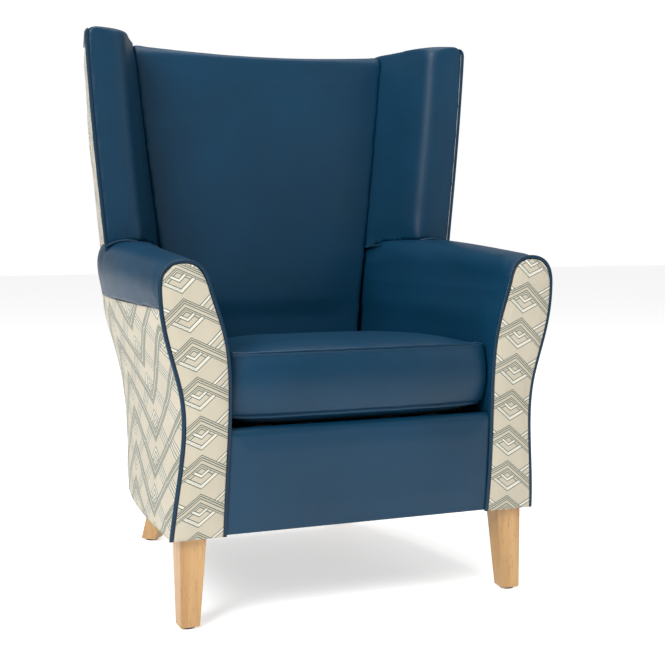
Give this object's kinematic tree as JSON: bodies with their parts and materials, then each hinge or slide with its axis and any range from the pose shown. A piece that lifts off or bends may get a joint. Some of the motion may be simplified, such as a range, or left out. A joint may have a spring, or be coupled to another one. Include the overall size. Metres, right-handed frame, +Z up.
{
  "type": "high-back wing armchair",
  "caption": "High-back wing armchair in blue vinyl with a loose seat cushion, patterned woven fabric on the arm fronts and outsides, blue piping and tapered beech legs.",
  "frame": {"origin": "on the floor, under the middle of the chair", "axes": "+Z up, the chair's front faces -Y, +X is to the right as seen from the front"},
  "size_m": [0.8142, 0.6988, 1.078],
  "materials": {
    "blue_vinyl": "satin",
    "blue_piping": "satin",
    "patterned_fabric": "matte",
    "beech": "satin",
    "frame_timber": "matte",
    "foam": "matte",
    "spring_steel": "satin",
    "black_cloth": "matte",
    "webbing": "matte",
    "platform_felt": "matte",
    "glide_plastic": "matte"
  },
  "bodies": {
    "chair": {"back_lower_rail": "frame_timber", "back_top_rail": "frame_timber", "back_webbing": "webbing", "corner_blocks": "frame_timber", "dust_cover": "black_cloth", "front_border": "blue_vinyl", "front_seat_rail": "frame_timber", "inside_back": "blue_vinyl", "left_arm_facing": "patterned_fabric", "left_arm_pad": "blue_vinyl", "left_arm_rail": "frame_timber", "left_back_post": "frame_timber", "left_facing_piping": "blue_piping", "left_front_leg": "beech", "left_front_post": "frame_timber", "left_outside_arm_panel": "patterned_fabric", "left_outside_wing_panel": "patterned_fabric", "left_rear_leg": "beech", "left_side_seat_rail": "frame_timber", "left_wing_frame": "frame_timber", "left_wing_pad": "blue_vinyl", "left_wing_piping": "blue_piping", "left_wing_seam_piping": "blue_piping", "leg_bolts": "spring_steel", "leg_glides": "glide_plastic", "leg_inserts": "spring_steel", "outside_back": "patterned_fabric", "rear_seat_rail": "frame_timber", "right_arm_facing": "patterned_fabric", "right_arm_pad": "blue_vinyl", "right_arm_rail": "frame_timber", "right_back_post": "frame_timber", "right_facing_piping": "blue_piping", "right_front_leg": "beech", "right_front_post": "frame_timber", "right_outside_arm_panel": "patterned_fabric", "right_outside_wing_panel": "patterned_fabric", "right_rear_leg": "beech", "right_side_seat_rail": "frame_timber", "right_wing_frame": "frame_timber", "right_wing_pad": "blue_vinyl", "right_wing_piping": "blue_piping", "right_wing_seam_piping": "blue_piping", "seat_platform": "platform_felt", "seat_springs": "spring_steel", "spring_clips": "spring_steel"},
    "cushion": {"seat_cushion_cover": "blue_vinyl", "seat_cushion_foam": "foam"}
  },
  "joints": [
    {"name": "cushion_lift", "type": "slide", "parent": "chair", "child": "cushion", "axis": [0, 0, 1], "range_m": [0, 0.75]}
  ]
}
